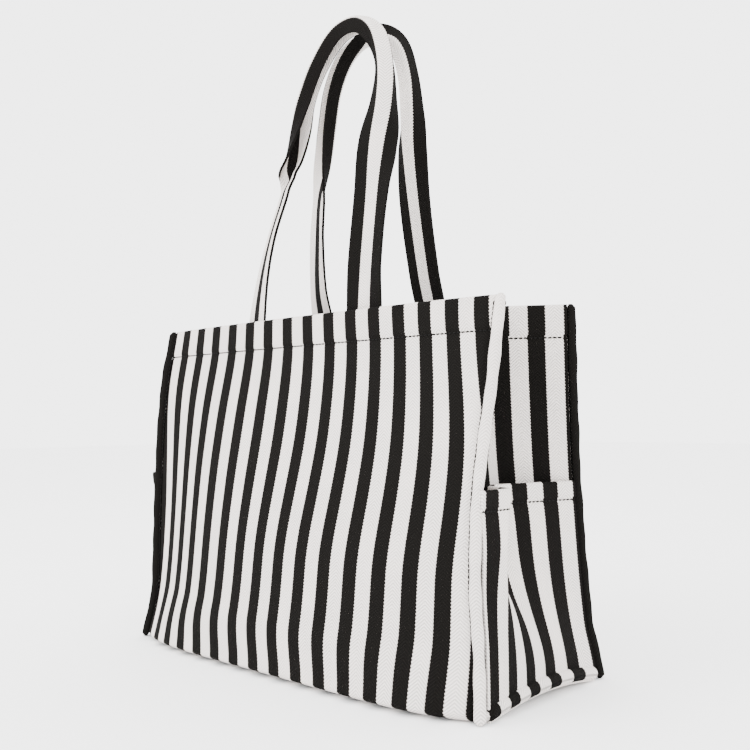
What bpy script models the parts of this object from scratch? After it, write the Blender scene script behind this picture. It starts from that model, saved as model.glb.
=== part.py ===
"""A canvas tote bag with folded sides, side pockets and two strap handles.

Metres, +Z up. X runs across the bag, Y from its front to its back, and the origin
lies on the floor under the middle of the base.
"""

from math import cos, pi, sin, sqrt

import bmesh
import bpy
from mathutils import Vector

# Driving dimensions
HEIGHT = 0.320  # floor to the top edge of the hem
WIDTH = 0.440  # over the pinched corner seams
DEPTH_BOTTOM = 0.178  # over the corner seams at the floor
DEPTH_TOP = 0.110  # over the corner seams at the hem
CANVAS = 0.002  # one layer of cloth
GAP = 0.0003  # between pieces that touch
SEAM_RADIUS = 0.0045  # half the thickness of a pinched seam
BASE_RADIUS = 0.014  # soft turn from the front or back into the base
BELLY_BOTTOM = 0.016  # how far the front and back swell between the corners
BELLY_TOP = 0.003
TURN_SHARE = 0.3  # share of the front's rows that lie round the soft turn
HEM_DEPTH = 0.028
HEM_SHORT = 0.010  # the turned hem stops this far before the panel's edge
GUSSET_SLACK = 0.0005  # how much wider half a side is than its place at the floor
GUSSET_VALLEY_BACK = 0.025  # the side's fold lies behind the middle at the floor
FOLD_ROUNDING = 0.035  # share of a side's width over which each fold is rounded
POCKET_HEIGHT = 0.170
POCKET_HEM = 0.016
POCKET_HEM_SHARES = (0.04, 0.86)  # the turned hem stops short where the side lies close
POCKET_FACE = 0.027  # flat face of the pocket beside its front seam
POCKET_PROUD = 0.002  # how far that face stands outside the seams at the mouth
POCKET_VALLEY_BACK = 0.022
POCKET_VALLEY_DEPTH = 0.028
STRAP_WIDTH = 0.038
STRAP_THICK = 0.003
STRAP_END_LENGTH = 0.026  # sewn length inside the hem
GRIP_WIDTH = 0.020  # the strap folded along its middle
GRIP_THICK = 0.007
FOLD_START = 0.20  # share of the strap's length where it starts to fold
FOLD_END = 0.32  # and where it is folded in two
HINGE_LIFT = 0.0025  # the strap bends this far above the hem
FRONT_STRAP_X = (-0.078, 0.068)  # where the two ends of each strap are sewn
BACK_STRAP_X = (-0.085, 0.065)

# A strap's route over the hem: x, how far it leans in from its foot, height over the hem
FRONT_ROUTE = (
    (-0.077, 0.0060, 0.042),
    (-0.069, 0.0105, 0.082),
    (-0.057, 0.0165, 0.122),
    (-0.048, 0.0225, 0.168),
    (-0.039, 0.0285, 0.217),
    (-0.022, 0.0330, 0.258),
    (0.004, 0.0340, 0.282),
    (0.032, 0.0340, 0.284),
    (0.056, 0.0330, 0.266),
    (0.067, 0.0305, 0.230),
    (0.069, 0.0265, 0.190),
    (0.066, 0.0205, 0.150),
    (0.065, 0.0145, 0.110),
    (0.064, 0.0060, 0.040),
)
BACK_ROUTE = (
    (-0.086, 0.0060, 0.040),
    (-0.081, 0.0115, 0.094),
    (-0.071, 0.0175, 0.135),
    (-0.059, 0.0225, 0.172),
    (-0.049, 0.0275, 0.207),
    (-0.036, 0.0315, 0.243),
    (-0.016, 0.0340, 0.270),
    (0.008, 0.0340, 0.282),
    (0.034, 0.0340, 0.280),
    (0.054, 0.0330, 0.263),
    (0.063, 0.0305, 0.230),
    (0.063, 0.0265, 0.192),
    (0.059, 0.0215, 0.158),
    (0.057, 0.0145, 0.110),
    (0.061, 0.0060, 0.040),
)
ROUTE_STEPS = 2  # points on the curve for each point of a route
STRAP_SECTION = ((1, -0.6), (1, 0.6), (0, 1), (-1, 0.6), (-1, -0.6), (0, -1))

# Worked out from the driving dimensions
SEAM_X = WIDTH / 2 - SEAM_RADIUS  # centre line of a corner seam
SEAM_LIFT = 2 * GAP  # the corner seams stop just clear of the floor
SIDE_BOTTOM = 2 * SEAM_RADIUS + 2 * GAP  # the sides stand on the seam at their foot
PANEL_HALF = SEAM_X - SEAM_RADIUS - GAP
PANEL_IN = SEAM_RADIUS - CANVAS / 2  # from the corner seam's outside to a panel's
GUSSET_X = SEAM_X - CANVAS / 2
POCKET_X = GUSSET_X + 1.5 * CANVAS + GAP  # clear of the side where both slope in
EDGE_IN = 2 * SEAM_RADIUS + GAP + CANVAS  # from the seam's outside to a side's edge
LAYER = CANVAS + GAP
STRAP_INSET = 2 * LAYER  # the strap's end lies on the turned hem
HEM_Y = DEPTH_TOP / 2 - PANEL_IN + BELLY_TOP  # the outer face of the hem between the seams
HINGE_Y = HEM_Y - LAYER + GAP / 2  # in the middle of the hem's edge


def corner_y(z):
    """Half the depth over the corner seams at height z."""
    return (DEPTH_BOTTOM + (DEPTH_TOP - DEPTH_BOTTOM) * z / HEIGHT) / 2


def gusset_half():
    """Flat half-width of a side between its seams."""
    return corner_y(0) - EDGE_IN + GUSSET_SLACK


def base_edge():
    """Half the depth of the flat base."""
    return corner_y(BASE_RADIUS) - PANEL_IN - BASE_RADIUS


def belly(x, z):
    """How far the front or back swells at x and z."""
    full = BELLY_BOTTOM + (BELLY_TOP - BELLY_BOTTOM) * z / HEIGHT
    return full * (1 - (x / PANEL_HALF) ** 4)


def material(name, colour, roughness):
    made = bpy.data.materials.new(name)
    made.use_nodes = True
    shader = made.node_tree.nodes["Principled BSDF"]
    shader.inputs["Base Color"].default_value = (*colour, 1)
    shader.inputs["Roughness"].default_value = roughness
    shader.inputs["Metallic"].default_value = 0
    return made


def finish(name, data, shade):
    """Link the data as a named object of the bag."""
    piece = bpy.data.objects.new(name, data)
    data.materials.append(shade)
    bag.objects.link(piece)
    return piece


def sheet(name, columns, rows, point, shade, thick=CANVAS, inset=0.0):
    """A cloth panel: a grid laid by point(u, v), u to the right and v up as seen from
    outside, sunk by inset and given its wall on the inner side."""
    grid = bmesh.new()
    bmesh.ops.create_grid(grid, x_segments=columns, y_segments=rows, size=0.5)
    for corner in grid.verts:
        corner.co = Vector(point(corner.co.x + 0.5, corner.co.y + 0.5))
    grid.normal_update()
    outward = [corner.normal.copy() for corner in grid.verts]
    for corner, normal in zip(grid.verts, outward):
        corner.co -= normal * inset
    mesh = bpy.data.meshes.new(name)
    grid.to_mesh(mesh)
    grid.free()
    piece = finish(name, mesh, shade)
    wall = piece.modifiers.new("wall", "SOLIDIFY")
    wall.thickness = thick
    wall.offset = -1
    return piece


def turned(side, point):
    """The laid point, or with side -1 the point turned half round the upright axis."""

    def placed(u, v):
        x, y, z = point(u, v)
        return side * x, side * y, z

    return placed


def mirrored(side, point):
    """The laid point, or with side -1 its mirror image across the bag."""

    def placed(u, v):
        x, y, z = point(u if side > 0 else 1 - u, v)
        return side * x, y, z

    return placed


def front_face(x, z):
    """The front's outer face at x and height z."""
    return x, -(corner_y(z) - PANEL_IN + belly(x, z)), z


def front_point(u, v):
    """The front, from the edge of the flat base round the soft turn and up."""
    x = (2 * u - 1) * PANEL_HALF
    if v > TURN_SHARE:
        share = (v - TURN_SHARE) / (1 - TURN_SHARE)
        return front_face(x, BASE_RADIUS + (HEIGHT - BASE_RADIUS) * share)
    angle = pi / 2 * v / TURN_SHARE
    foot = base_edge()
    knee = -front_face(x, BASE_RADIUS)[1]
    return x, -(foot + (knee - foot) * sin(angle)), BASE_RADIUS * (1 - cos(angle))


def base_point(u, v):
    half = base_edge() - CANVAS / 2  # clear of the sloping edge of the front and back
    return (2 * u - 1) * PANEL_HALF, (1 - 2 * v) * half, 0.0


def hem_point(half, middle, depth):
    """A patch of the front's face, depth deep below the top edge."""

    def point(u, v):
        return front_face(middle + (2 * u - 1) * half, HEIGHT - depth * (1 - v))

    return point


def soft_path(corners, share):
    """The point at a share of a path through the corners, with its turns rounded."""
    spans = [(b - a).length for a, b in zip(corners, corners[1:])]

    def along(part):
        left = part * sum(spans)
        for a, b, span in zip(corners, corners[1:], spans):
            if left <= span:
                return a + (b - a) * (left / span)
            left -= span
        return corners[-1]

    near = min(FOLD_ROUNDING, share, 1 - share)
    return (along(share - near) + 2 * along(share) + along(share + near)) / 4


def gusset_point(bottom, top):
    """A side, nearly flat at the floor and folded in along its middle above."""

    def point(u, v):
        z = bottom + (top - bottom) * v
        edge = corner_y(z) - EDGE_IN
        half = gusset_half()
        valley = GUSSET_VALLEY_BACK * (1 - z / HEIGHT)
        fold = sqrt((half**2 - edge**2) * (1 - (valley / half) ** 2))
        corners = (
            Vector((GUSSET_X, -edge)),
            Vector((GUSSET_X - fold, valley)),
            Vector((GUSSET_X, edge)),
        )
        laid = soft_path(corners, u)
        return laid.x, laid.y, z

    return point


def pocket_point(bottom, top, start=0.0, end=1.0):
    """A side pocket: a flat face beside the front seam, then folded in and out again.
    The shares start and end give the part of its width that is laid."""

    def point(u, v):
        z = bottom + (top - bottom) * v
        lift = z / POCKET_HEIGHT
        edge = corner_y(z) - EDGE_IN
        corners = (
            Vector((POCKET_X, -edge)),
            Vector((POCKET_X + POCKET_PROUD * lift, POCKET_FACE - edge)),
            Vector((POCKET_X - POCKET_VALLEY_DEPTH * lift, POCKET_VALLEY_BACK)),
            Vector((POCKET_X, edge)),
        )
        laid = soft_path(corners, start + (end - start) * u)
        return laid.x, laid.y, z

    return point


def seam(name, start, end, shade):
    """A pinched seam as a round bead from start to end."""
    path = bpy.data.curves.new(name, "CURVE")
    path.dimensions = "3D"
    path.bevel_depth = SEAM_RADIUS
    path.bevel_resolution = 2
    path.use_fill_caps = True
    line = path.splines.new("POLY")
    line.points.add(1)
    line.points[0].co = (*start, 1)
    line.points[1].co = (*end, 1)
    return finish(name, path, shade)


def smooth_route(points):
    """Points on a smooth curve through the given ones."""
    ends = [2 * points[0] - points[1], *points, 2 * points[-1] - points[-2]]
    route = []
    for a, b, c, d in zip(ends, ends[1:], ends[2:], ends[3:]):
        for step in range(ROUTE_STEPS):
            t = step / ROUTE_STEPS
            bend = (2 * a - 5 * b + 4 * c - d) * t**2 + (3 * b - a - 3 * c + d) * t**3
            route.append((2 * b + (c - a) * t + bend) / 2)
    return [*route, points[-1]]


def strap_route(feet, route, side):
    """A strap's centre line from one foot above the hem to the other."""
    foot_y = HINGE_Y - LAYER - STRAP_THICK / 2
    foot_z = HEIGHT + HINGE_LIFT
    points = [(feet[0], 0.0, 0.0), *route, (feet[1], 0.0, 0.0)]
    laid = [Vector((x, side * (foot_y - lean), foot_z + up)) for x, lean, up in points]
    return smooth_route(laid)


def fold_share(share):
    """How far the strap is folded at a share of its length: 0 at its feet, 1 in the grip."""
    from_foot = 0.5 - abs(share - 0.5)
    return min(1.0, max(0.0, (from_foot - FOLD_START) / (FOLD_END - FOLD_START)))


def strap(name, feet, route, side, shade):
    """A strap handle: flat at its feet, folded narrow and thick over the grip."""
    centres = strap_route(feet, route, side)
    last = len(centres) - 1
    axis = Vector((0, side * HINGE_Y, HEIGHT + HINGE_LIFT))
    hull = bmesh.new()
    rings = []
    for index, centre in enumerate(centres):
        along = (centres[min(index + 1, last)] - centres[max(index - 1, 0)]).normalized()
        across = Vector((along.z, 0, -along.x)).normalized()
        out = along.cross(across)
        fold = fold_share(index / last)
        across *= (STRAP_WIDTH + (GRIP_WIDTH - STRAP_WIDTH) * fold) / 2
        out *= (STRAP_THICK + (GRIP_THICK - STRAP_THICK) * fold) / 2
        middle = centre - axis
        rings.append([hull.verts.new(middle + across * a + out * b) for a, b in STRAP_SECTION])
    for ring, after in zip(rings, rings[1:]):
        for k, corner in enumerate(ring):
            beside = (k + 1) % len(ring)
            hull.faces.new((corner, ring[beside], after[beside], after[k]))
    hull.faces.new(rings[0])
    hull.faces.new(rings[-1])
    bmesh.ops.recalc_face_normals(hull, faces=hull.faces)
    mesh = bpy.data.meshes.new(name)
    hull.to_mesh(mesh)
    hull.free()
    piece = finish(name, mesh, shade)
    piece.location = axis
    return piece


def make_body(canvas, canvas_turned):
    """The front, base and back, and the hems turned in behind them."""
    sheet("bottom_panel", 10, 4, base_point, canvas)
    hem = hem_point(PANEL_HALF - HEM_SHORT, 0.0, HEM_DEPTH)
    for face, side in (("front", 1), ("back", -1)):
        sheet(f"{face}_panel", 12, 13, turned(side, front_point), canvas)
        sheet(f"{face}_hem", 12, 2, turned(side, hem), canvas_turned, inset=LAYER)


def make_sides(canvas, canvas_turned):
    """The folded sides and the pockets on them, with their turned hems."""
    pieces = (
        ("gusset", 10, gusset_point(SIDE_BOTTOM, HEIGHT), 0.0, canvas),
        ("gusset_hem", 1, gusset_point(HEIGHT - HEM_DEPTH, HEIGHT), LAYER, canvas_turned),
        ("pocket", 6, pocket_point(SIDE_BOTTOM, POCKET_HEIGHT), 0.0, canvas),
        (
            "pocket_hem",
            1,
            pocket_point(POCKET_HEIGHT - POCKET_HEM, POCKET_HEIGHT, *POCKET_HEM_SHARES),
            LAYER,
            canvas_turned,
        ),
    )
    for hand, side in (("right", 1), ("left", -1)):
        for piece, rows, point, inset, shade in pieces:
            sheet(f"{hand}_{piece}", 24, rows, mirrored(side, point), shade, inset=inset)


def make_seams(canvas):
    """Four pinched corner seams, and one along the foot of each side."""
    foot = corner_y(SEAM_LIFT) - SEAM_RADIUS
    head = corner_y(HEIGHT) - SEAM_RADIUS
    reach = corner_y(SIDE_BOTTOM) - 2 * SEAM_RADIUS - 2 * GAP
    low = SEAM_RADIUS + GAP
    for hand, x in (("right", SEAM_X), ("left", -SEAM_X)):
        for face, out in (("front", -1), ("back", 1)):
            name = f"{face}_{hand}_corner_seam"
            seam(name, (x, out * foot, SEAM_LIFT), (x, out * head, HEIGHT), canvas)
        seam(f"{hand}_foot_seam", (x, -reach, low), (x, reach, low), canvas)


def make_straps(webbing):
    """The two strap handles, and the ends of each sewn inside the hem."""
    straps = (
        ("front", 1, FRONT_STRAP_X, FRONT_ROUTE),
        ("back", -1, BACK_STRAP_X, BACK_ROUTE),
    )
    for face, side, feet, route in straps:
        strap(f"{face}_handle", feet, route, -side, webbing)
        for end, x in zip(("left", "right"), feet):
            patch = hem_point(STRAP_WIDTH / 2, side * x, STRAP_END_LENGTH)
            name = f"{face}_handle_{end}_end"
            sheet(name, 2, 1, turned(side, patch), webbing, STRAP_THICK, STRAP_INSET)


for old in list(bpy.data.objects):
    bpy.data.objects.remove(old)
bag = bpy.data.collections.new("canvas_tote_bag")
bpy.context.scene.collection.children.link(bag)

striped_canvas = material("striped_canvas", (0.45, 0.43, 0.41), 0.9)
turned_canvas = material("turned_hem_canvas", (0.60, 0.57, 0.54), 0.9)
seam_canvas = material("pinched_seam_canvas", (0.72, 0.69, 0.66), 0.9)
strap_canvas = material("striped_strap_canvas", (0.30, 0.29, 0.28), 0.88)

make_body(striped_canvas, turned_canvas)
make_sides(striped_canvas, turned_canvas)
make_seams(seam_canvas)
make_straps(strap_canvas)
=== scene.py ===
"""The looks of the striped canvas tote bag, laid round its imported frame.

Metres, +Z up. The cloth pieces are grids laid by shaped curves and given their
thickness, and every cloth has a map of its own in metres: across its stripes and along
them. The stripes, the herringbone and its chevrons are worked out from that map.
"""

from math import cos, pi, radians, sin, sqrt

import bpy
from bpy.props import FloatProperty, FloatVectorProperty, PointerProperty
from mathutils import Matrix, Vector


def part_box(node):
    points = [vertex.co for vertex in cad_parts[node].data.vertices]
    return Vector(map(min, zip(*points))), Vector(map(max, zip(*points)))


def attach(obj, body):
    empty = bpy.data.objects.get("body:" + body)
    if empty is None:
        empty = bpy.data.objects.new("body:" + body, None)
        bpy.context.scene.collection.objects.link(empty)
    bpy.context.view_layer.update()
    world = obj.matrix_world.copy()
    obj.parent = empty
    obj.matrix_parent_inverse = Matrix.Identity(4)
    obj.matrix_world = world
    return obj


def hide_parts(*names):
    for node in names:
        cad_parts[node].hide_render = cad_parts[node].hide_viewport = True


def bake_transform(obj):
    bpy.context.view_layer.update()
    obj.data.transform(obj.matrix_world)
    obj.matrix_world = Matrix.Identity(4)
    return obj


bl_info = {
    "name": "Canvas Tote Bag",
    "version": (1, 0, 0),
    "blender": (4, 5, 0),
    "location": "View3D > Sidebar > Tote Bag",
    "description": "Lays the cloth, seams, stitches and straps of a striped tote bag",
    "category": "Object",
}

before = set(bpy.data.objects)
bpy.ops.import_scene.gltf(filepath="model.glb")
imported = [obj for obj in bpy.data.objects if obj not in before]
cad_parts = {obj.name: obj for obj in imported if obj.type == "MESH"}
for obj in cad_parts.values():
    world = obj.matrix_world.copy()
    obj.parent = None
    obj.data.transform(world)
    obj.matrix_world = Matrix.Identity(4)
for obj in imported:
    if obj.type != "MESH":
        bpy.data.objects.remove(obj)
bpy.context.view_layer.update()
FRONT_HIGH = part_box("front_panel")[1]
RIDGE_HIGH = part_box("front_right_corner_seam")[1]
POCKET_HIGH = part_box("right_pocket")[1]

CLOTH_MAP = "cloth"  # the name of each cloth's own map
MM = 0.001

CANVAS = 0.0019  # one layer of the heavy cloth
PANEL_IN = 0.0035  # from a corner ridge's outside to the face of a panel
RIDGE_RADIUS = 0.0045
SIDE_IN = 0.0105  # from a corner ridge's outside to a side's edge
FOLD_RADIUS = 0.0021  # outside of a turned hem's fold
FOLD_STEPS = 6
HEM_PROUD = 0.0007  # how far a hem stands out from the cloth under it
HEM_GROOVE = 0.0009  # and how deep its stitches pull
EDGE_PINCH = 0.0016  # how far a panel is drawn in beside its ridges
BASE_RADIUS = 0.008  # of the turn from the front or back into the base
BASE_INSET = 0.0006  # from that turn to the base's own edge
SIDE_FOOT = 0.0105  # height at which the sides and pockets stand
SIDE_VALLEY = 0.025  # how far behind the middle a side's fold lies at the floor
SIDE_ROUNDING = 0.03  # share of a side's way over which each fold is rounded
POCKET_ROUNDING = 0.022
POCKET_OUT = 0.0033  # a pocket's edges outside the side's
POCKET_FACE = 0.027  # a pocket's flat face beside its front seam
POCKET_OPEN = 0.0035  # how far its mouth stands out beside that seam
POCKET_WRAP = 0.0095  # and how far it wraps towards the front
POCKET_DEEP = 0.032  # how deep its fold runs in
POCKET_CLEAR = 0.0075  # between a side and the pocket's fold in front of it
LIP_RADIUS = 0.0056  # of the seam along a side's foot
LIP_SHORT = 0.0085  # from a corner's outside to that seam's end
THREAD = 0.0016
STITCH_LENGTH = 0.0038
STITCH_STEP = 0.0041
STITCH_PROUD = 0.0002
RIDGE_START = -84.0  # degrees from straight out of the front, round towards the side
RIDGE_END = 172.0
RIDGE_POINTS = 26
RIDGE_RINGS = 110
RIDGE_CROWNS = {  # the middle of each ridge's stripe
    ("front", 1): 45.0, ("front", -1): 0.0, ("back", 1): 90.0, ("back", -1): 45.0,
}
STRAP_THICK = 0.0026
STRAP_STEPS = 190
STRAP_COLUMNS = 32
FOLD_ANGLE = radians(84)
FOLD_FLAT = 0.0025  # from a strap's middle to where its fold begins
FOLD_FULL = 0.0085  # and to where it is complete
THREAD_GLOSS = 0.05
CANVAS_GLOSS = 0.04

# How far each corner strays from a straight line: height, in across the bag, and out
# from its middle
BOWS = {
    ("front", 1): (
        (0.0, 0.0, 0.0), (0.05, 0.0028, 0.0020), (0.10, 0.0062, 0.0062),
        (0.165, 0.0072, 0.0072), (0.21, 0.0052, 0.0052), (0.25, 0.0027, 0.0027),
        (0.29, 0.0012, 0.0012), (0.32, 0.0, 0.0),
    ),
    ("front", -1): (
        (0.0, -0.0010, 0.0), (0.02, 0.0040, 0.0), (0.05, 0.0100, 0.0010),
        (0.12, 0.0070, 0.0040), (0.19, 0.0030, 0.0060), (0.26, -0.0010, 0.0050),
        (0.32, 0.0, 0.0),
    ),
    ("back", 1): (
        (0.0, -0.0015, 0.0), (0.02, 0.0010, 0.0), (0.05, 0.0065, 0.0010),
        (0.16, 0.0085, 0.0020), (0.24, 0.0050, 0.0010), (0.32, 0.0, 0.0),
    ),
    ("back", -1): (
        (0.0, 0.0, 0.0), (0.05, 0.0050, 0.0010), (0.16, 0.0075, 0.0030),
        (0.24, 0.0045, 0.0020), (0.32, 0.0, 0.0),
    ),
}
# How far the front swells out in its middle, by height
SWELL = (
    (0.0, 0.0270), (0.03, 0.0245), (0.08, 0.0185), (0.14, 0.0150), (0.19, 0.0120),
    (0.235, 0.0085), (0.27, 0.0050), (0.29, 0.0045), (0.32, 0.0080),
)
# How far the front's stripes lean towards its left, each lean in its own place
WAIST_LEAN = 0.011
RIGHT_LEAN = 0.013
FOOT_LEAN = 0.011
LEFT_LEAN = 0.021
SIDE_STRIPES = 10.4  # stripes round a folded side
SIDE_HIDDEN = 0.2  # and how many of them its front ridge hides
FOOT_GATHER = 1.0  # stripes that a pocket's fold takes in at its foot


def curve_slopes(places, values):
    """The slope at each knot of a smooth curve."""
    last = len(places) - 1
    slopes = []
    for k in range(len(places)):
        a, b = max(k - 1, 0), min(k + 1, last)
        slopes.append((values[b] - values[a]) / (places[b] - places[a]))
    return slopes


def eased(places, values, at):
    """The value at a place on a smooth curve through the knots, held at its ends."""
    if at <= places[0]:
        return values[0]
    if at >= places[-1]:
        return values[-1]
    slopes = curve_slopes(places, values)
    k = 0
    while at > places[k + 1]:
        k += 1
    span = places[k + 1] - places[k]
    t = (at - places[k]) / span
    rise = values[k + 1] - values[k]
    bend = t * (1 - t) * ((1 - t) * slopes[k] - t * slopes[k + 1]) * span
    return values[k] + rise * t * t * (3 - 2 * t) + bend


def eased_table(knots, at, column=1):
    """The value in a column of a list of knots, eased between them."""
    return eased([k[0] for k in knots], [k[column] for k in knots], at)


def smooth_step(low, high, at):
    """0 before low, 1 after high, eased between."""
    t = min(1.0, max(0.0, (at - low) / (high - low)))
    return t * t * (3 - 2 * t)


def ripple(at, place, width):
    """A soft hump of height 1 at a place."""
    t = min(1.0, abs(at - place) / width)
    return (1 - t * t) ** 2


def soft_path(corners, share, rounding):
    """The point at a share of a path through the corners, with its turns rounded."""
    spans = [(b - a).length for a, b in zip(corners, corners[1:])]
    total = sum(spans)

    def along(part):
        left = min(max(part, 0.0), 1.0) * total
        for a, b, span in zip(corners, corners[1:], spans):
            if left <= span:
                return a + (b - a) * (left / span)
            left -= span
        return corners[-1].copy()

    near = min(rounding, share, 1 - share)
    parts = (-1.0, -0.5, 0.0, 0.5, 1.0)
    weights = (1, 2, 2, 2, 1)
    point = Vector((0.0, 0.0))
    for part, weight in zip(parts, weights):
        point += along(share + near * part) * weight
    return point / sum(weights)


class Bag:
    """The bag's shape, worked out from its sizes."""

    def __init__(self, sizes):
        self.height = sizes.height
        self.half_width = sizes.width / 2
        self.half_floor = sizes.depth_bottom / 2
        self.half_top = sizes.depth_top / 2
        self.stripe = sizes.stripe
        self.side_stripe = sizes.side_stripe
        self.hem = sizes.hem_depth
        self.pocket = sizes.pocket_height
        self.pocket_hem = sizes.pocket_hem
        self.strap = sizes.strap_width
        self.ridge_x = self.half_width - RIDGE_RADIUS
        self.panel_x = self.half_width - 2 * RIDGE_RADIUS + 0.0002
        self.side_x = self.half_width - PANEL_IN - 0.001

    def corner(self, z):
        """Half the depth over the corner ridges."""
        return self.half_floor + (self.half_top - self.half_floor) * z / self.height

    def bow(self, face, hand, z):
        """How far a corner strays in across the bag and out from its middle."""
        knots = BOWS[face, hand]
        return eased_table(knots, z, 1), eased_table(knots, z, 2)

    def ridge(self, face, hand, z):
        """The centre of a corner ridge: x and y."""
        inward, outward = self.bow(face, hand, z)
        out = self.corner(z) - RIDGE_RADIUS + outward
        return hand * (self.ridge_x - inward), -out if face == "front" else out

    def face_point(self, face, u, z):
        """The outer face of the front or back: x and y. Across the back, u runs from
        its own left as seen from behind."""
        near = 1 if face == "front" else -1
        left_in, left_out = self.bow(face, -near, z)
        right_in, right_out = self.bow(face, near, z)
        left = -(self.panel_x - left_in)
        right = self.panel_x - right_in
        s = 2 * u - 1
        power = (2.6 if s < 0 else 3.4) + 3.5 * (1 - smooth_step(0.0, 0.06, z))
        swell = eased_table(SWELL, z) * (1 - abs(s) ** power)
        edge = min(u, 1 - u) * (right - left)
        pinch = EDGE_PINCH * (1 - smooth_step(0.0, 0.007, edge))
        out = self.corner(z) - PANEL_IN + left_out + (right_out - left_out) * u
        out += swell - pinch + self.hem_step(z, self.height - self.hem)
        return near * (left + (right - left) * u), -near * out

    def hem_step(self, z, line):
        """The hem stands a little proud, and its stitches pull a groove."""
        proud = HEM_PROUD * smooth_step(line - 0.001, line + 0.003, z)
        return proud - HEM_GROOVE * ripple(z, line, 0.0028)

    def drift(self, x, z):
        """How far the cloth has drifted across the front at a place."""
        s = x / self.half_width
        lean = WAIST_LEAN * ripple(z, 0.21, 0.11) * smooth_step(-0.6, 0.2, s)
        lean += RIGHT_LEAN * smooth_step(0, 1, s) * (1 - smooth_step(0.10, 0.28, z))
        lean += FOOT_LEAN * (1 - smooth_step(0, 1, s)) * (1 - smooth_step(0, 0.05, z))
        lean += LEFT_LEAN * ripple(s, -1, 0.5) * ripple(z, 0.11, 0.16)
        return -lean

    def base_edge(self):
        """How far from the middle the front and back leave the floor."""
        return self.corner(BASE_RADIUS) - PANEL_IN - BASE_RADIUS

    def side_edge(self, face, hand, z):
        """Where a side's cloth meets a corner ridge: x and y."""
        x, y = self.ridge(face, hand, z)
        toward = 1 if face == "front" else -1
        inset = SIDE_IN - RIDGE_RADIUS
        return x + hand * (self.side_x - self.ridge_x), y + toward * inset

    def side_half(self):
        """Half a side's flat width."""
        return self.half_floor - SIDE_IN + 0.0005

    def side_path(self, hand, z):
        """The folded side's corners in plan, from the front to the back. Behind the
        pocket its front half is dented, to stay clear of the pocket's fold."""
        front = Vector(self.side_edge("front", hand, z))
        back = Vector(self.side_edge("back", hand, z))
        valley = SIDE_VALLEY * (1 - z / self.height)
        half = self.side_half()
        edge = (back.y - front.y) / 2
        fold = sqrt(max(half**2 - edge**2, 0.0) * (1 - (valley / half) ** 2))
        middle = Vector((hand * (abs(front.x + back.x) / 2 - fold), valley))
        inside = self.pocket_path(hand, min(z, self.pocket))[2]
        dent = front.lerp(middle, (inside.y - front.y) / (middle.y - front.y))
        pushed = max(0.0, abs(dent.x) - abs(inside.x) + POCKET_CLEAR)
        dent.x -= hand * pushed * (1 - smooth_step(0.19, 0.31, z))
        return front, dent, middle, back

    def pocket_path(self, hand, z):
        """The pocket's corners in plan: a flat face, then in to a fold and out again."""
        lift = min(1.0, z / self.pocket)
        mouth = smooth_step(0.7, 1.0, lift)
        front = Vector(self.side_edge("front", hand, z))
        back = Vector(self.side_edge("back", hand, z))
        turn_x = self.side_x + POCKET_OUT + 0.002 * lift - self.bow("front", hand, z)[0] * 0.6
        turn = Vector((hand * turn_x, front.y + POCKET_FACE))
        front.x += hand * (POCKET_OUT + POCKET_OPEN * mouth)
        front.y -= POCKET_WRAP * mouth
        back.x += hand * (POCKET_OUT - 0.001)
        folded = smooth_step(0.15, 0.8, lift)
        deep = POCKET_DEEP * folded + 0.004 * lift
        valley = Vector((turn.x - hand * deep, turn.y + 0.045 - 0.029 * folded))
        return front, turn, valley, back

    def side_across(self, share):
        """How far across its stripes a folded side has come by a share of its way."""
        return (SIDE_STRIPES * share - SIDE_HIDDEN) * self.side_stripe

    def pocket_across(self, share, z):
        """The same for a pocket, whose fold gathers more of the cloth at its foot."""
        gathered = FOOT_GATHER * (1 - smooth_step(0.05, 0.14, z)) * sin(pi * share)
        return self.side_across(share) + gathered * self.side_stripe

    def lip(self, hand, y):
        """The foot seam's centre at y: x and z. It arches clear of the floor."""
        share = min(1.0, abs(y) / (self.half_floor - 0.012))
        arch = 1 - share**2
        x = hand * (self.ridge_x + 0.0005 + 0.0015 * arch)
        return x, 0.0060 + 0.0075 * arch


def deselect():
    """Select nothing."""
    bpy.ops.object.select_all(action="DESELECT")


def finish_piece(piece, material, body="root"):
    """Give a piece its material and its slot, and let it ride."""
    piece.data.materials.clear()
    piece.data.materials.append(material)
    if body:
        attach(piece, body)
    return piece


def lay_cloth(name, columns, rows, place, thick=CANVAS, offset=-1.0, turned=0.0):
    """Add a grid, lay it by place(u, v), which gives a point and its place on the
    cloth's own map, and give it its thickness. The far face's map is moved by turned."""
    deselect()
    bpy.ops.mesh.primitive_grid_add(
        x_subdivisions=columns, y_subdivisions=rows, size=1, calc_uvs=True
    )
    piece = bpy.context.object
    piece.name = piece.data.name = name
    mesh = piece.data
    spots = []
    for corner in mesh.vertices:
        point, spot = place(corner.co.x + 0.5, corner.co.y + 0.5)
        corner.co = point
        spots.append(spot)
    cloth = mesh.uv_layers[0]
    cloth.name = CLOTH_MAP
    for loop, laid in zip(mesh.loops, cloth.data):
        laid.uv = spots[loop.vertex_index]
    wall = piece.modifiers.new("wall", "SOLIDIFY")
    wall.thickness = thick
    wall.offset = offset
    wall.use_even_offset = True
    faces = len(mesh.polygons)
    bpy.ops.object.modifier_apply(modifier=wall.name)
    cloth = piece.data.uv_layers[0].data
    for face in piece.data.polygons[faces : 2 * faces]:
        for k in face.loop_indices:
            cloth[k].uv.x += turned
    bpy.ops.object.shade_smooth_by_angle(angle=radians(50))
    return piece


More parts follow.
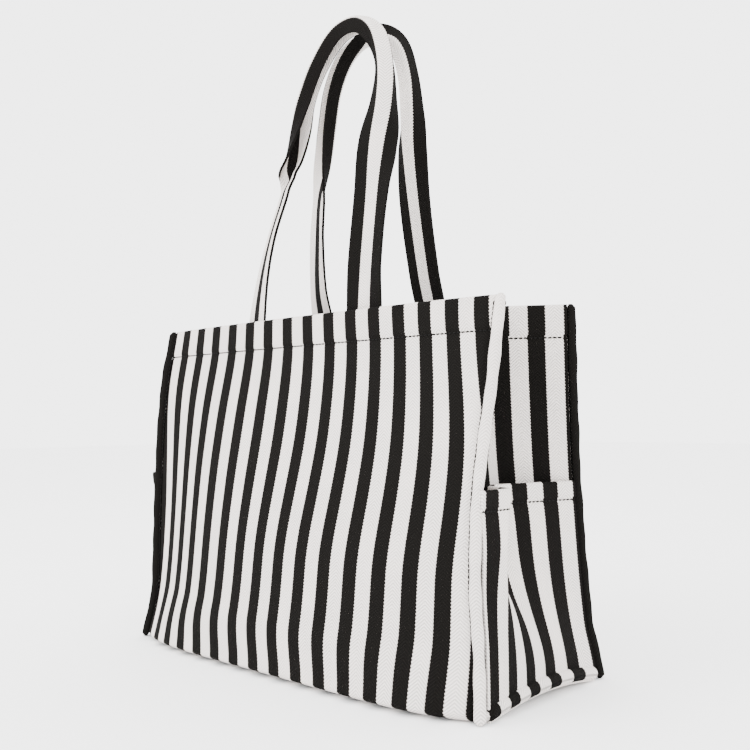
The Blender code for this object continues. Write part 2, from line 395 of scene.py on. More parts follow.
def loft_bead(name, rings, spots):
    """A closed bead through rings of points, with its own map and rounded ends."""
    mesh = bpy.data.meshes.new(name)
    around = len(rings[0])
    points = [p for ring in rings for p in ring]
    faces = []
    for k in range(len(rings) - 1):
        for j in range(around):
            nxt = (j + 1) % around
            a = k * around
            faces.append((a + j, a + nxt, a + around + nxt, a + around + j))
    faces.append(tuple(reversed(range(around))))
    top = (len(rings) - 1) * around
    faces.append(tuple(range(top, top + around)))
    mesh.from_pydata(points, [], faces)
    cloth = mesh.uv_layers.new(name=CLOTH_MAP)
    flat = [s for ring in spots for s in ring]
    for loop, laid in zip(mesh.loops, cloth.data):
        laid.uv = flat[loop.vertex_index]
    piece = bpy.data.objects.new(name, mesh)
    bpy.context.scene.collection.objects.link(piece)
    deselect()
    piece.select_set(True)
    bpy.context.view_layer.objects.active = piece
    bpy.ops.object.mode_set(mode="EDIT")
    bpy.ops.mesh.select_all(action="SELECT")
    bpy.ops.mesh.normals_make_consistent(inside=False)
    bpy.ops.object.mode_set(mode="OBJECT")
    bpy.ops.object.shade_smooth_by_angle(angle=radians(60))
    return piece


# ---------------------------------------------------------------- materials


class Wire:
    """A shader value that takes Python's operators."""

    def __init__(self, recipe, socket):
        self.recipe = recipe
        self.socket = socket

    def _math(self, operation, *values):
        return self.recipe.math(operation, *values)

    def __add__(self, other):
        return self._math("ADD", self, other)

    __radd__ = __add__

    def __sub__(self, other):
        return self._math("SUBTRACT", self, other)

    def __rsub__(self, other):
        return self._math("SUBTRACT", other, self)

    def __mul__(self, other):
        return self._math("MULTIPLY", self, other)

    __rmul__ = __mul__

    def __truediv__(self, other):
        return self._math("DIVIDE", self, other)

    def __abs__(self):
        return self._math("ABSOLUTE", self)

    def part(self):
        """What is left over a whole number."""
        return self._math("FRACT", self)

    def wave(self):
        """1 at whole numbers and 0 half-way between them."""
        return abs(self.part() - 0.5) * 2

    def clamped(self):
        held = self._math("ADD", self, 0.0)
        held.socket.node.use_clamp = True
        return held


class Recipe:
    """A material under construction."""

    def __init__(self, name):
        self.material = bpy.data.materials.new(name)
        self.material.use_nodes = True
        self.tree = self.material.node_tree
        self.shader = self.tree.nodes["Principled BSDF"]

    def node(self, kind, settings=None, sockets=None, output=0):
        """Add a node with its settings, and set or link its sockets."""
        made = self.tree.nodes.new(kind)
        for key, value in (settings or {}).items():
            setattr(made, key, value)
        for key, value in (sockets or {}).items():
            self.feed(made.inputs[key], value)
        return Wire(self, made.outputs[output])

    def feed(self, socket, value):
        if isinstance(value, Wire):
            self.tree.links.new(value.socket, socket)
        else:
            socket.default_value = value

    def math(self, operation, *values):
        """Maths on values and numbers."""
        sockets = dict(enumerate(values))
        return self.node("ShaderNodeMath", {"operation": operation}, sockets)

    def mixed(self, factor, first, second):
        """A colour between two, by a factor."""
        sockets = {0: factor, 6: first, 7: second}
        return self.node("ShaderNodeMix", {"data_type": "RGBA"}, sockets, 2)

    def cloth_place(self):
        """Across and along on the cloth's own map, in metres."""
        spot = self.node("ShaderNodeUVMap", {"uv_map": CLOTH_MAP})
        across = self.node("ShaderNodeSeparateXYZ", None, {0: spot})
        return across, Wire(self, across.socket.node.outputs[1])

    def noise(self, scale, detail=2.0):
        """Soft noise on the piece, from 0 to 1."""
        place = self.node("ShaderNodeTexCoord", output=3)
        sockets = {"Vector": place, "Scale": scale, "Detail": detail}
        return self.node("ShaderNodeTexNoise", None, sockets)

    def finish(self, colour, roughness, height=None, depth=0.0005, strength=1.0):
        """Feed the shader, with a bump where there is a height."""
        self.feed(self.shader.inputs["Base Color"], colour)
        self.feed(self.shader.inputs["Roughness"], roughness)
        if height is not None:
            sockets = {"Strength": strength, "Distance": depth, "Height": height}
            bump = self.node("ShaderNodeBump", None, sockets)
            self.feed(self.shader.inputs["Normal"], bump)
        return self.material


def rgba(colour, factor=1.0):
    """A colour for a socket, made lighter or darker by a factor."""
    return (colour[0] * factor, colour[1] * factor, colour[2] * factor, 1.0)


TWILL = 0.0027  # one ridge of the herringbone, along the stripe
YARN = 0.0009  # and one yarn across it


def herringbone(recipe, across, along, stripe):
    """The height of the weave: chevrons two to a stripe, crossed by single yarns. The rib
    wave returned first also sets painted shade in the grooves between the ribs.
    """
    lean = abs(across.part() - 0.5) * (stripe * 0.95)
    rib_relief_and_shade = ((along + lean) / TWILL).wave()
    yarn = ((along - lean * 1.4) / YARN).wave()
    return rib_relief_and_shade, rib_relief_and_shade * 0.78 + yarn * 0.22


def striped_canvas(name, colours, stripe, shift=0.0):
    """Dark and light stripes with toothed edges, and a herringbone in each, with painted
    shade in its twill grooves and painted light on its rib crowns.
    """
    recipe = Recipe(name)
    across_m, along = recipe.cloth_place()
    across = across_m / stripe + shift
    tooth = (along / TWILL + 0.25).wave() - 0.5
    shaky = recipe.noise(700.0)
    edge = across + tooth * 0.038 + (shaky - 0.5) * 0.03
    light_side = recipe.math("SINE", edge * pi)
    dark = (light_side * 7.0 + 0.5).clamped()
    rib_relief_and_shade, height = herringbone(recipe, across, along, stripe)
    patchy = recipe.noise(24.0, 3.0)
    fleck = recipe.noise(2400.0, 1.0)
    # Painted shade: the light stripe's colour drops to 0.38 of itself in the grooves between
    # the twill ribs.
    light = recipe.mixed(
        (rib_relief_and_shade * 0.75 + fleck * 0.25).clamped(),
        rgba(colours.light, 0.38),
        rgba(colours.light, 1.06),
    )
    light = recipe.mixed(
        ((patchy - 0.45) * 1.6).clamped(), light, rgba(colours.light_warm)
    )
    # Painted shade and light: the dark stripe's colour is darker in the twill grooves and
    # lighter on the rib crowns.
    deep = recipe.mixed(
        (rib_relief_and_shade * 0.6 + fleck * 0.4).clamped(),
        rgba(colours.dark, 0.55),
        rgba(colours.dark, 1.5),
    )
    colour = recipe.mixed(dark, light, deep)
    fuzz = recipe.noise(1500.0)
    rough = 0.86 + fuzz * 0.1
    made = recipe.finish(colour, rough, height * 0.85 + fuzz * 0.15, 0.00075, 0.85)
    recipe.shader.inputs["Specular IOR Level"].default_value = CANVAS_GLOSS
    return made


def sewing_thread(name, colour):
    """Twisted thread: fine slanting plies."""
    recipe = Recipe(name)
    plies = recipe.noise(3000.0, 1.0)
    tint = recipe.mixed(plies, rgba(colour, 0.7), rgba(colour, 1.5))
    recipe.shader.inputs["Specular IOR Level"].default_value = THREAD_GLOSS
    return recipe.finish(tint, 0.6 + plies * 0.25, plies, 0.0002, 0.5)


def material_of(name, make):
    """The material of that name, made the first time that it is asked for."""
    return bpy.data.materials.get(name) or make()


def canvas_for(scene, name="herringbone_canvas", shift=0.0, stripe=None):
    """The striped canvas of that name."""
    colours, sizes = scene.tote_colours, scene.tote_sizes
    wide = stripe or sizes.stripe
    return material_of(name, lambda: striped_canvas(name, colours, wide, shift))


def side_canvas_for(scene, bag, hand, name):
    """A side's canvas: the left one starts with a light stripe."""
    shift = 0.0 if hand > 0 else 1.0
    return canvas_for(scene, f"{name}_side_canvas", shift, bag.side_stripe)


def thread_for(scene):
    """The thread of every row of stitches."""
    dark = scene.tote_colours.thread
    return material_of("topstitch_thread", lambda: sewing_thread("topstitch_thread", dark))


# ------------------------------------------------------------------- pieces


def hem_stack(rows, inside_rows):
    """The stretches of a hemmed cloth: up its face, over the fold and down inside.
    Gives a function from a share of all its rows to (stretch, share of the stretch)."""
    total = rows + FOLD_STEPS + inside_rows

    def stop(v):
        at = v * total
        if at <= rows:
            return "face", at / rows
        if at <= rows + FOLD_STEPS:
            return "fold", (at - rows) / FOLD_STEPS
        return "inside", (at - rows - FOLD_STEPS) / inside_rows

    return stop, total


def hemmed(plan, bottom, top, depth, rows, inside_rows=8, low=None):
    """place(u, v) for a cloth that stands on bottom, folds over at top and hangs
    depth down inside. plan(u, z) gives x, y and the spot across on the map. Below
    the height low[0], low[1](u, z) places it instead."""
    stop, total = hem_stack(rows, inside_rows)
    crown = top - FOLD_RADIUS

    def normal(u, z):
        step = 0.002
        a = plan(max(u - step, 0.0), z)
        b = plan(min(u + step, 1.0), z)
        along = Vector((b[0] - a[0], b[1] - a[1])).normalized()
        return Vector((along.y, -along.x))

    def place(u, v):
        kind, share = stop(v)
        if kind == "face":
            z = bottom + (crown - bottom) * share
            if low and z < low[0]:
                return low[1](u, z)
            x, y, across = plan(u, z)
            return Vector((x, y, z)), (across, z)
        out = normal(u, crown)
        x, y, across = plan(u, crown)
        if kind == "fold":
            angle = pi * share
            inward = FOLD_RADIUS * (1 - cos(angle))
            z = crown + FOLD_RADIUS * sin(angle)
            spot = (across, crown + FOLD_RADIUS * angle)
        else:
            z = crown - depth * share
            x, y, across = plan(u, z)
            inward = 2 * FOLD_RADIUS
            spot = (across, crown + pi * FOLD_RADIUS + depth * share)
        return Vector((x - out.x * inward, y - out.y * inward, z)), spot

    return place, total


def front_plan(bag, face):
    """plan(u, z) for the front or back."""
    turn = 1 if face == "front" else -1

    def plan(u, z):
        x, y = bag.face_point(face, u, z)
        own = turn * x
        across = own + bag.half_width + bag.drift(own, z)
        return x, y, max(across, MM)

    return plan


def make_panel(scene, bag, face):
    """The front or back: rolled up from the base, and hemmed at its top."""
    plan = front_plan(bag, face)
    near = 1 if face == "front" else -1
    foot = bag.base_edge()
    turn_rows, face_rows = 14, 120
    bottom = BASE_RADIUS - (bag.height - BASE_RADIUS) * turn_rows / face_rows

    def rolled(u, z):
        share = (BASE_RADIUS - z) / (BASE_RADIUS - bottom)
        angle = pi / 2 * share
        x, y, across = plan(u, BASE_RADIUS)
        knee = -near * y
        out = foot + (knee - foot) * cos(angle)
        low = BASE_RADIUS * (1 - sin(angle))
        arc = BASE_RADIUS * 1.4 * angle
        return Vector((x, -near * out, low)), (across, BASE_RADIUS - arc)

    place, total = hemmed(
        plan, bottom, bag.height, bag.hem, turn_rows + face_rows, 8, (BASE_RADIUS, rolled)
    )
    piece = lay_cloth(f"{face}_cloth", 168, total, place)
    finish_piece(piece, canvas_for(scene))
    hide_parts(f"{face}_panel", f"{face}_hem")
    length = bag.height + bag.hem + BASE_RADIUS
    return piece


def make_base(scene, bag):
    """The base, its two short edges turned up under the foot seams."""
    half = bag.base_edge() - BASE_INSET
    edge_x = bag.ridge_x + 0.002

    def place(u, v):
        x = (2 * u - 1) * edge_x
        y = (2 * v - 1) * half
        hand = 1 if x > 0 else -1
        lip_z = bag.lip(hand, y)[1] - 0.0070
        lift = smooth_step(bag.half_width - 0.06, edge_x, abs(x))
        z = CANVAS + max(lip_z, 0.0) * lift
        across = x + bag.half_width + bag.drift(x, 0.0) * (1 - lift)
        return Vector((x, -y, z)), (across, -y)

    piece = lay_cloth("base_cloth", 120, 30, place, offset=1.0)
    finish_piece(piece, canvas_for(scene))
    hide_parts("bottom_panel")
    2 * half
    return piece


def side_plan(bag, hand):
    """plan(u, z) for a side."""

    def plan(u, z):
        path = bag.side_path(hand, z)
        share = u if hand > 0 else 1 - u
        point = soft_path(path, share, SIDE_ROUNDING)
        step = bag.hem_step(z, bag.height - bag.hem)
        across = bag.side_across(share)
        return point.x + hand * step, point.y, across

    return plan


def make_side(scene, bag, hand, name):
    """A side, folded in along its middle, and hemmed at its top."""
    place, total = hemmed(side_plan(bag, hand), SIDE_FOOT, bag.height, bag.hem, 96)
    piece = lay_cloth(f"{name}_side_cloth", 96, total, place)
    finish_piece(piece, side_canvas_for(scene, bag, hand, name))
    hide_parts(f"{name}_gusset", f"{name}_gusset_hem")
    flat = (2 * bag.side_half(), bag.height + bag.hem)
    return piece


def pocket_plan(bag, hand):
    """plan(u, z) for a pocket."""

    def plan(u, z):
        path = bag.pocket_path(hand, z)
        share = u if hand > 0 else 1 - u
        point = soft_path(path, share, POCKET_ROUNDING)
        step = bag.hem_step(z, bag.pocket - bag.pocket_hem)
        across = bag.pocket_across(share, z)
        return point.x + hand * step, point.y, across

    return plan


def make_pocket(scene, bag, hand, name):
    """A side pocket, standing a little open, with a narrow hem round its mouth."""
    place, total = hemmed(
        pocket_plan(bag, hand), SIDE_FOOT, bag.pocket, bag.pocket_hem, 72, 5
    )
    piece = lay_cloth(f"{name}_pocket_cloth", 112, total, place)
    finish_piece(piece, side_canvas_for(scene, bag, hand, name))
    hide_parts(f"{name}_pocket", f"{name}_pocket_hem")
    flat = (2 * bag.side_half(), bag.pocket + bag.pocket_hem)
    return piece




def make_ridge(scene, bag, face, hand, name):
    """A corner ridge: both cloths pinched together and topstitched."""
    out = -1 if face == "front" else 1
    top = bag.height + 0.0004
    low = 0.0004
    rings, spots = [], []
    for k in range(RIDGE_RINGS + 1):
        share = k / RIDGE_RINGS
        z = low + (top - low) * share
        x, y = bag.ridge(face, hand, min(z, bag.height))
        close = smooth_step(-1.0, 1.2, min(k, RIDGE_RINGS - k))
        waver = 0.00025 * sin(z * 210 + hand) + 0.0002 * sin(z * 97)
        ring, row = [], []
        for j in range(RIDGE_POINTS):
            turn = RIDGE_START + (RIDGE_END - RIDGE_START) * j / (RIDGE_POINTS - 1)
            angle = radians(turn)
            off = abs(turn - 45.0)
            radius = RIDGE_RADIUS + 0.0004 * ripple(off, 0, 60) + waver
            radius *= close
            side = hand * sin(angle) * radius
            front = out * cos(angle) * radius
            ring.append(Vector((x + side, y + front, z)))
            arc = radians(turn - RIDGE_CROWNS[face, hand]) * RIDGE_RADIUS
            row.append((arc + bag.stripe / 2, z))
        rings.append(ring)
        spots.append(row)
    piece = loft_bead(f"{name}_ridge", rings, spots)
    light = (face == "front") == (hand > 0)
    canvas = canvas_for(
        scene, "light_ridge_canvas" if light else "dark_ridge_canvas", 1.0 if light else 0.0
    )
    finish_piece(piece, canvas)
    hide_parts(f"{name}_corner_seam")
    return piece


def make_lip(scene, bag, hand, name):
    """The seam along a side's foot: the pocket's stripes rolled under it."""
    reach = bag.half_floor - LIP_SHORT
    rings, spots = [], []
    steps, around = 72, 18
    for k in range(steps + 1):
        share = k / steps
        y = -reach + 2 * reach * share
        x, z = bag.lip(hand, y)
        ends = min(k, steps - k)
        radius = LIP_RADIUS * (0.5 + 0.5 * min(1.0, ends / 3))
        ring, row = [], []
        for j in range(around):
            angle = 2 * pi * j / around
            ring.append(
                Vector((x + hand * radius * cos(angle) * 0.95, y, z + radius * sin(angle)))
            )
            spot = bag.pocket_across(share, 0.0)
            row.append((spot, z + radius * angle))
        rings.append(ring)
        spots.append(row)
    piece = loft_bead(f"{name}_foot_lip", rings, spots)
    finish_piece(piece, side_canvas_for(scene, bag, hand, name))
    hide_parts(f"{name}_foot_seam")
    return piece


def add_stitches(name, routes, material, body="root"):
    """Rows of stitches along routes of (point, out) pairs: one stitch shaped once and
    copied along them."""
    deselect()
    bpy.ops.mesh.primitive_uv_sphere_add(segments=8, ring_count=5, radius=0.5)
    piece = bpy.context.object
    piece.name = piece.data.name = name
    one = piece.data
    shape = [v.co.copy() for v in one.vertices]
    sides = [tuple(p.vertices) for p in one.polygons]
    points, faces = [], []
    for route in routes:
        travelled = [0.0]
        for (a, _), (b, _) in zip(route, route[1:]):
            travelled.append(travelled[-1] + (b - a).length)
        count = int(travelled[-1] / STITCH_STEP)
        leg = 0
        for n in range(count):
            at = (n + 0.5) * STITCH_STEP
            while travelled[leg + 1] < at:
                leg += 1
            (a, out_a), (b, out_b) = route[leg], route[leg + 1]
            share = (at - travelled[leg]) / (travelled[leg + 1] - travelled[leg])
            centre = a.lerp(b, share)
            along = (b - a).normalized()
            out = out_a.lerp(out_b, share)
            out = (out - along * out.dot(along)).normalized()
            beside = along.cross(out)
            first = len(points)
            for co in shape:
                points.append(
                    centre
                    + along * (co.z * STITCH_LENGTH)
                    + beside * (co.x * THREAD)
                    + out * (co.y * THREAD)
                )
            faces.extend(tuple(first + i for i in side) for side in sides)
    made = bpy.data.meshes.new(name)
    made.from_pydata(points, [], faces)
    made.update()
    piece.data = made
    bpy.data.meshes.remove(one)
    made.name = name
    bpy.ops.object.shade_smooth()
    finish_piece(piece, material, body)
    return piece


def plan_route(plan, z, steps=120):
    """A row of stitches round a cloth at a height."""
    route = []
    for k in range(steps + 1):
        u = k / steps
        x, y, _ = plan(u, z)
        a, b = plan(max(u - 0.003, 0), z), plan(min(u + 0.003, 1), z)
        along = Vector((b[0] - a[0], b[1] - a[1])).normalized()
        out = Vector((along.y, -along.x, 0.0))
        route.append((Vector((x, y, z)) + out * STITCH_PROUD, out))
    return route


def ridge_stitches(bag, face, hand):
    """The rows that hold a ridge: on the panel beside it and, on the front's, also on
    the side."""
    out = -1 if face == "front" else 1
    panel, flank = [], []
    for k in range(101):
        z = 0.010 + (bag.height - 0.012) * k / 100
        x, y = bag.ridge(face, hand, z)
        panel.append(
            (
                Vector((x - hand * (RIDGE_RADIUS + 0.0006), y + out * 0.0008, z)),
                Vector((0, out, 0)),
            )
        )
        flank.append(
            (
                Vector((x + hand * 0.0008, y - out * (RIDGE_RADIUS + 0.0016), z)),
                Vector((hand, 0, 0)),
            )
        )
    return [panel, flank] if face == "front" else [panel]


# ------------------------------------------------------------------- straps

# A strap's stations: x, distance from the middle plane, height over the hem, the way
# that its dark-edged face looks (x, out of the bag, up), how far it is folded, and how
# far from its middle the crease runs
FRONT_STATIONS = (
    (-0.078, 0.0485, -0.026, (-0.91, -0.41, 0.0), 1.0, 0.030),
    (-0.078, 0.0485, 0.002, (-0.91, -0.41, 0.0), 1.0, 0.030),
    (-0.077, 0.0425, 0.044, (-0.86, -0.51, 0.0), 1.0, 0.030),
    (-0.069, 0.038, 0.084, (-0.82, -0.57, 0.0), 1.0, 0.030),
    (-0.057, 0.032, 0.124, (-0.82, -0.57, 0.0), 1.0, 0.030),
    (-0.0535, 0.030, 0.138, (-0.80, -0.60, 0.0), 1.0, 0.018),
    (-0.050, 0.028, 0.152, (-0.80, -0.60, 0.0), 1.0, 0.004),
    (-0.047, 0.0255, 0.168, (-0.90, -0.42, 0.03), 1.0, 0.0),
    (-0.043, 0.022, 0.192, (-0.98, 0.05, 0.08), 1.0, 0.0),
    (-0.037, 0.0195, 0.220, (-0.82, 0.48, 0.3), 1.0, 0.0),
    (-0.022, 0.016, 0.252, (-0.60, 0.45, 0.65), 1.0, 0.0),
    (0.004, 0.0145, 0.276, (-0.25, 0.30, 0.92), 1.0, 0.0),
    (0.032, 0.0145, 0.278, (0.0, 0.20, 0.98), 1.0, 0.0),
    (0.054, 0.0155, 0.262, (0.35, 0.40, 0.85), 1.0, 0.0),
    (0.067, 0.018, 0.232, (0.68, 0.72, 0.15), 1.0, 0.0),
    (0.069, 0.022, 0.192, (0.68, 0.73, 0.0), 0.75, 0.0),
    (0.066, 0.028, 0.152, (0.45, 0.89, 0.0), 0.20, 0.0),
    (0.065, 0.034, 0.112, (0.12, 0.99, 0.0), -0.10, 0.0),
    (0.064, 0.0425, 0.042, (0.09, 1.0, 0.0), -0.20, 0.0),
    (0.068, 0.0485, 0.002, (0.09, 1.0, 0.0), -0.05, 0.0),
    (0.068, 0.0485, -0.026, (0.09, 1.0, 0.0), 0.0, 0.0),
)
BACK_STATIONS = (
    (-0.085, 0.0485, -0.026, (0.19, 0.98, 0.0), 0.0, 0.0),
    (-0.085, 0.0485, 0.002, (0.19, 0.98, 0.0), 0.0, 0.0),
    (-0.086, 0.0425, 0.042, (0.33, 0.94, 0.0), 0.0, 0.0),
    (-0.081, 0.037, 0.096, (0.40, 0.91, 0.0), 0.10, 0.0),
    (-0.071, 0.031, 0.137, (0.45, 0.89, 0.0), 0.10, 0.0),
    (-0.060, 0.026, 0.170, (0.40, 0.91, 0.0), 0.65, 0.0),
    (-0.049, 0.021, 0.205, (0.30, 0.94, -0.1), 1.0, 0.0),
    (-0.036, 0.017, 0.240, (0.25, 0.93, -0.25), 1.0, 0.0),
    (-0.016, 0.0145, 0.266, (0.15, 0.88, -0.45), 1.0, 0.0),
    (0.008, 0.0145, 0.278, (0.05, 0.55, -0.83), 1.0, 0.0),
    (0.034, 0.0145, 0.276, (0.0, -0.40, -0.92), 1.0, 0.0),
    (0.054, 0.0155, 0.260, (0.10, -0.88, -0.4), 1.0, 0.0),
    (0.063, 0.018, 0.230, (0.15, -0.98, -0.1), 1.0, 0.0),
    (0.063, 0.022, 0.194, (0.12, -0.99, 0.0), 0.80, 0.0),
    (0.059, 0.027, 0.160, (0.0, -1.0, 0.0), 0.35, 0.0),
    (0.057, 0.034, 0.112, (-0.05, -1.0, 0.0), 0.05, 0.0),
    (0.061, 0.0425, 0.042, (-0.10, -1.0, 0.0), 0.0, 0.0),
    (0.065, 0.0485, 0.002, (-0.12, -0.99, 0.0), 0.0, 0.0),
    (0.065, 0.0485, -0.026, (-0.12, -0.99, 0.0), 0.0, 0.0),
)


def strap_curves(stations, side, height):
    """at(share) gives the strap's centre, facing, fold and crease there. The length
    of its way comes second."""
    rows = [
        (Vector((x, side * out, height + up)), Vector((n[0], side * n[1], n[2])), fold)
        for x, out, up, n, fold, _ in stations
    ]
    places = [0.0]
    for a, b in zip(rows, rows[1:]):
        places.append(places[-1] + (b[0] - a[0]).length)
    columns = [[row[0][i] for row in rows] for i in range(3)]
    facings = [[row[1].normalized()[i] for row in rows] for i in range(3)]
    folds = [row[2] for row in rows]
    creases = [row[5] for row in stations]

    def at(share):
        spot = places[-1] * share
        centre = Vector([eased(places, c, spot) for c in columns])
        facing = Vector([eased(places, c, spot) for c in facings]).normalized()
        return centre, facing, eased(places, folds, spot), eased(places, creases, spot)

    return at, places[-1]


def folded_strap(reach, fold, crease):
    """How far beside and behind its crease a place across a strap comes."""
    beside, back = 0.0, 0.0
    steps = 16
    reach -= crease
    for k in range(steps):
        a = abs(reach) * (k + 0.5) / steps
        turn = FOLD_ANGLE * fold * smooth_step(FOLD_FLAT, FOLD_FULL, a)
        beside += cos(turn) * reach / steps
        back += sin(turn) * abs(reach) / steps
    return beside, back


def make_strap(scene, bag, face, side, stations):
    """A strap: one length of cloth, flat at its sewn ends and folded double where it
    is held."""
    at, length = strap_curves(stations, side, bag.height)

    def place(u, v):
        centre, facing, fold, crease = at(v)
        ahead = at(min(v + 0.004, 1.0))[0] - at(max(v - 0.004, 0.0))[0]
        along = ahead.normalized()
        facing = (facing - along * facing.dot(along)).normalized()
        across = along.cross(facing)
        beside, back = folded_strap((u - 0.5) * bag.strap, fold, crease)
        ends = [folded_strap(half, fold, crease) for half in (-bag.strap / 2, bag.strap / 2)]
        middle = folded_strap(0.0, fold, crease)
        beside -= (ends[0][0] + ends[1][0] + 2 * middle[0]) / 4
        back -= (ends[0][1] + ends[1][1] + 2 * middle[1]) / 4
        point = centre + across * beside - facing * back
        spot = min(max(u * bag.strap, MM), bag.strap - MM)
        return point, (spot, v * length)

    third = bag.strap / 3
    name = f"{face}_strap"
    piece = lay_cloth(name, STRAP_COLUMNS, STRAP_STEPS, place, STRAP_THICK, 0.0, third)
    canvas = canvas_for(scene, "strap_weave", 0.0, third)
    finish_piece(piece, canvas, None)
    names = [f"{face}_handle", f"{face}_handle_left_end", f"{face}_handle_right_end"]
    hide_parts(*names)
    bag.height - 0.001
    bag.height + 0.016
    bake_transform(piece)
    return piece


# ---------------------------------------------------------------- operators


class ToteSizes(bpy.types.PropertyGroup):
    """The bag's sizes"""

    height: FloatProperty(
        name="Height", description="Floor to the top of the hem",
        default=FRONT_HIGH.z, unit="LENGTH",
    )
    width: FloatProperty(
        name="Width", description="Over the corner ridges",
        default=RIDGE_HIGH.x * 2, unit="LENGTH",
    )
    depth_bottom: FloatProperty(
        name="Depth at the floor", description="Over the corner ridges",
        default=0.178, unit="LENGTH",
    )
    depth_top: FloatProperty(
        name="Depth at the hem", description="Over the corner ridges",
        default=0.110, unit="LENGTH",
    )
    stripe: FloatProperty(
        name="Stripe", description="Width of one stripe", default=0.01375, unit="LENGTH"
    )
    side_stripe: FloatProperty(
        name="Side stripe", description="Width of a stripe as the folded sides show it",
        default=0.0149, unit="LENGTH",
    )
    hem_depth: FloatProperty(
        name="Hem", description="Depth of the turned hem", default=0.028, unit="LENGTH"
    )
    pocket_height: FloatProperty(
        name="Pocket", description="Height of the side pockets",
        default=POCKET_HIGH.z, unit="LENGTH",
    )
    pocket_hem: FloatProperty(
        name="Pocket hem", description="Depth of the pocket's hem",
        default=0.016, unit="LENGTH",
    )
    strap_width: FloatProperty(
        name="Strap", description="Width of the straps", default=0.038, unit="LENGTH"
    )


class ToteColours(bpy.types.PropertyGroup):
    """The bag's colours"""

    light: FloatVectorProperty(
        name="Light yarn", description="Off-white stripes", subtype="COLOR",
        default=(0.86, 0.80, 0.76), min=0, max=1,
    )
    light_warm: FloatVectorProperty(
        name="Warm light yarn", description="Where the off-white is warmer",
        subtype="COLOR", default=(0.78, 0.705, 0.655), min=0, max=1,
    )
    dark: FloatVectorProperty(
        name="Dark yarn", description="Black stripes", subtype="COLOR",
        default=(0.0040, 0.0035, 0.0031), min=0, max=1,
    )
    thread: FloatVectorProperty(
        name="Thread", description="Topstitching", subtype="COLOR",
        default=(0.004, 0.0037, 0.0035), min=0, max=1,
    )
    floor: FloatVectorProperty(
        name="Floor", description="Floor and backdrop", subtype="COLOR",
        default=(0.93, 0.93, 0.93), min=0, max=1,
    )


class TOTE_OT_stage(bpy.types.Operator):
    """Set the floor, the lights and the camera"""

    bl_idname = "tote.stage"
    bl_label = "Stage"

    def execute(self, context):
        make_floor(context.scene)
        make_lights()
        make_camera(context.scene)
        return {"FINISHED"}


CAMERA_PLACE = Vector((0.629, -0.637, 0.224))
CAMERA_TURN = radians(43.0)
CAMERA_TILT = radians(2.73)
CAMERA_ROLL = radians(-0.48)
CAMERA_LENS = 44.47


def make_camera(scene):
    """The camera stands off the bag's front right corner, a little above its middle."""
    eye = bpy.data.cameras.new("camera")
    eye.lens = CAMERA_LENS
    eye.sensor_width = 36
    eye.clip_start = 0.02
    camera = bpy.data.objects.new("camera", eye)
    scene.collection.objects.link(camera)
    level = cos(CAMERA_TILT)
    ahead = Vector((-sin(CAMERA_TURN) * level, cos(CAMERA_TURN) * level, sin(CAMERA_TILT)))
    beside = Vector((cos(CAMERA_TURN), sin(CAMERA_TURN), 0))
    upward = beside.cross(ahead)
    right = beside * cos(CAMERA_ROLL) + upward * sin(CAMERA_ROLL)
    above = upward * cos(CAMERA_ROLL) - beside * sin(CAMERA_ROLL)
    axes = Matrix((right, above, -ahead)).transposed()
    camera.matrix_world = Matrix.Translation(CAMERA_PLACE) @ axes.to_4x4()
    scene.camera = camera


def make_floor(scene):
    """A wide pale floor."""
    deselect()
    bpy.ops.mesh.primitive_plane_add(size=14)
    floor = bpy.context.object
    floor.name = "floor"
    recipe = Recipe("pale_floor")
    grain = recipe.noise(3.0)
    colour = scene.tote_colours.floor
    tint = recipe.mixed(grain, rgba(colour, 0.99), rgba(colour, 1.01))
    floor.data.materials.append(recipe.finish(tint, 0.9))
    world = bpy.data.worlds.new("soft_room")
    scene.world = world
    world.use_nodes = True
    air = world.node_tree.nodes["Background"]
    air.inputs["Color"].default_value = (1.0, 1.0, 1.0, 1)
    air.inputs["Strength"].default_value = 4.4


def add_softbox(name, place, aim, size, power):
    """A round soft light that looks at a place."""
    lamp = bpy.data.lights.new(name, "AREA")
    lamp.shape = "DISK"
    lamp.size = size
    lamp.energy = power
    softbox = bpy.data.objects.new(name, lamp)
    bpy.context.scene.collection.objects.link(softbox)
    softbox.location = place
    toward = Vector(aim) - Vector(place)
    softbox.rotation_euler = toward.to_track_quat("-Z", "Y").to_euler()


def make_lights():
    """A large soft key from the front left, and a weaker fill."""
    add_softbox("key", (-0.7, -2.0, 1.7), (0, 0, 0.2), 1.6, 60)
    add_softbox("fill", (2.2, -0.9, 1.4), (0, 0, 0.2), 1.6, 18)


class TOTE_OT_panels(bpy.types.Operator):
    """Lay the front, the base and the back"""

    bl_idname = "tote.panels"
    bl_label = "Front, base and back"

    def execute(self, context):
        bag = Bag(context.scene.tote_sizes)
        for face in ("front", "back"):
            make_panel(context.scene, bag, face)
        make_base(context.scene, bag)
        return {"FINISHED"}


HANDS = (("right", 1), ("left", -1))


class TOTE_OT_sides(bpy.types.Operator):
    """Lay the folded sides and their pockets"""

    bl_idname = "tote.sides"
    bl_label = "Sides and pockets"

    def execute(self, context):
        bag = Bag(context.scene.tote_sizes)
        for name, hand in HANDS:
            make_side(context.scene, bag, hand, name)
            make_pocket(context.scene, bag, hand, name)
        return {"FINISHED"}


class TOTE_OT_ridges(bpy.types.Operator):
    """Pinch the corner ridges and the foot lips"""

    bl_idname = "tote.ridges"
    bl_label = "Corner ridges and foot lips"

    def execute(self, context):
        bag = Bag(context.scene.tote_sizes)
        for name, hand in HANDS:
            for face in ("front", "back"):
                make_ridge(context.scene, bag, face, hand, f"{face}_{name}")
            make_lip(context.scene, bag, hand, name)
        return {"FINISHED"}


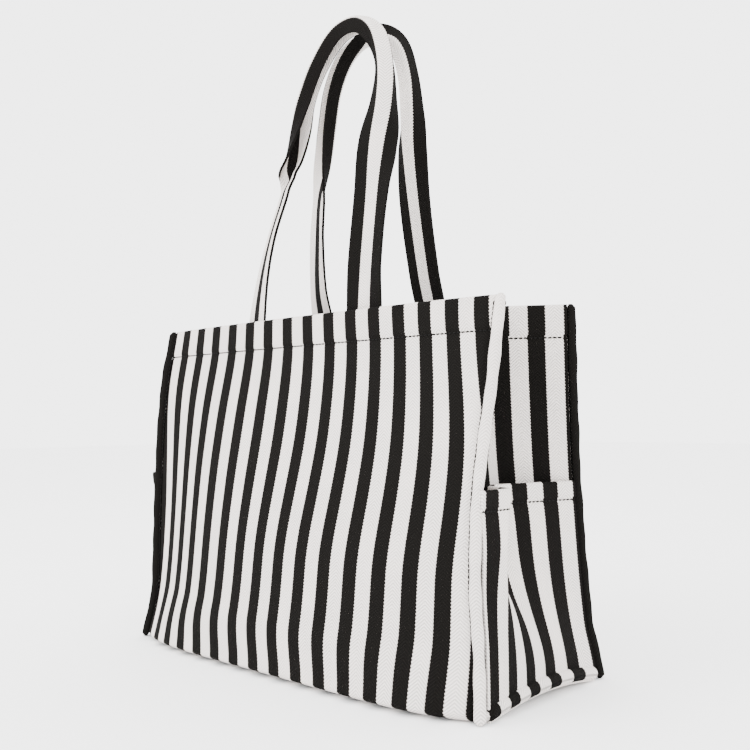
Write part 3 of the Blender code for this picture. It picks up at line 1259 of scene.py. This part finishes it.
class TOTE_OT_stitches(bpy.types.Operator):
    """Sew the hems, the pockets and the ridges"""

    bl_idname = "tote.stitches"
    bl_label = "Topstitching"

    def execute(self, context):
        bag = Bag(context.scene.tote_sizes)
        thread = thread_for(context.scene)
        for face in ("front", "back"):
            route = plan_route(front_plan(bag, face), bag.height - bag.hem)
            add_stitches(f"{face}_hem_stitches", [route], thread)
        for name, hand in HANDS:
            route = plan_route(side_plan(bag, hand), bag.height - bag.hem)
            add_stitches(f"{name}_side_hem_stitches", [route], thread)
            line = bag.pocket - bag.pocket_hem
            route = plan_route(pocket_plan(bag, hand), line)
            add_stitches(f"{name}_pocket_hem_stitches", [route], thread)
        for name, hand in HANDS:
            for face in ("front", "back"):
                routes = ridge_stitches(bag, face, hand)
                add_stitches(f"{face}_{name}_ridge_stitches", routes, thread)
        return {"FINISHED"}


class TOTE_OT_straps(bpy.types.Operator):
    """Lay the two straps"""

    bl_idname = "tote.straps"
    bl_label = "Straps"

    def execute(self, context):
        bag = Bag(context.scene.tote_sizes)
        make_strap(context.scene, bag, "front", -1, FRONT_STATIONS)
        make_strap(context.scene, bag, "back", 1, BACK_STATIONS)
        return {"FINISHED"}


STEPS = (TOTE_OT_stage, TOTE_OT_panels, TOTE_OT_sides, TOTE_OT_ridges, TOTE_OT_stitches,
         TOTE_OT_straps)


class TOTE_PT_panel(bpy.types.Panel):
    """The bag's sizes, colours and steps"""

    bl_idname = "TOTE_PT_panel"
    bl_label = "Tote Bag"
    bl_space_type = "VIEW_3D"
    bl_region_type = "UI"
    bl_category = "Tote Bag"

    def draw(self, context):
        for group in (context.scene.tote_sizes, context.scene.tote_colours):
            for key in group.__annotations__:
                self.layout.prop(group, key)
        for step in STEPS:
            self.layout.operator(step.bl_idname)


CLASSES = (ToteSizes, ToteColours, *STEPS, TOTE_PT_panel)


def register():
    for made in CLASSES:
        bpy.utils.register_class(made)
    bpy.types.Scene.tote_sizes = PointerProperty(type=ToteSizes)
    bpy.types.Scene.tote_colours = PointerProperty(type=ToteColours)


def unregister():
    del bpy.types.Scene.tote_sizes
    del bpy.types.Scene.tote_colours
    for made in reversed(CLASSES):
        bpy.utils.unregister_class(made)


def main():
    register()
    bpy.ops.tote.stage()
    bpy.ops.tote.panels()
    bpy.ops.tote.sides()
    bpy.ops.tote.ridges()
    bpy.ops.tote.stitches()
    bpy.ops.tote.straps()


if __name__ == "__main__":
    main()
